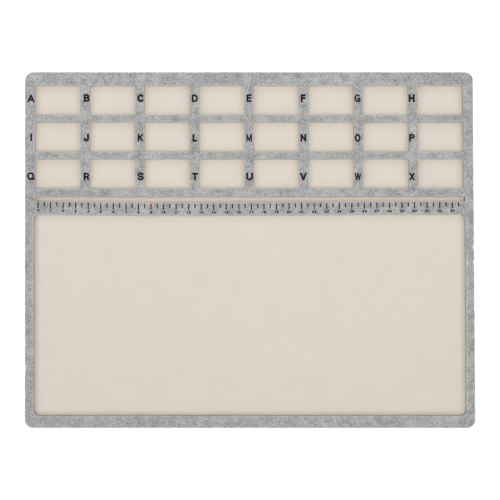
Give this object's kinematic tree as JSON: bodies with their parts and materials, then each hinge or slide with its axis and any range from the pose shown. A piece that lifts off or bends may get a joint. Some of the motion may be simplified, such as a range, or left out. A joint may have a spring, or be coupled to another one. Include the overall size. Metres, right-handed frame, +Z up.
{
  "type": "bead board",
  "caption": "Flat laminated bead board: a grey felt frame with lettered compartments, a ruler strip with a measuring slot and a large window onto a cream bead mat.",
  "frame": {"origin": "middle of the underside of the felt base, on the surface that the board lies on", "axes": "+X along the ruler from its zero end, +Y towards the lettered compartments, +Z up out of the mat"},
  "size_m": [0.3578, 0.2834, 0.0083],
  "materials": {
    "grey_felt": "melange needle felt, matt, fibrous",
    "cream_pile": "cream short-pile bead mat, soft sheen",
    "greyboard": "pressed greyboard, matt",
    "bonding_film": "clear pressure-sensitive adhesive film",
    "print_ink": "black screen-printed ink soaked into felt",
    "red_ink": "red screen-printed ink soaked into felt"
  },
  "bodies": {
    "root": {"base_felt": "grey_felt", "base_film": "bonding_film", "stiffener_board": "greyboard", "mat_film": "bonding_film", "bead_mat": "cream_pile", "frame_film": "bonding_film", "felt_frame": "grey_felt"}
  },
  "joints": []
}
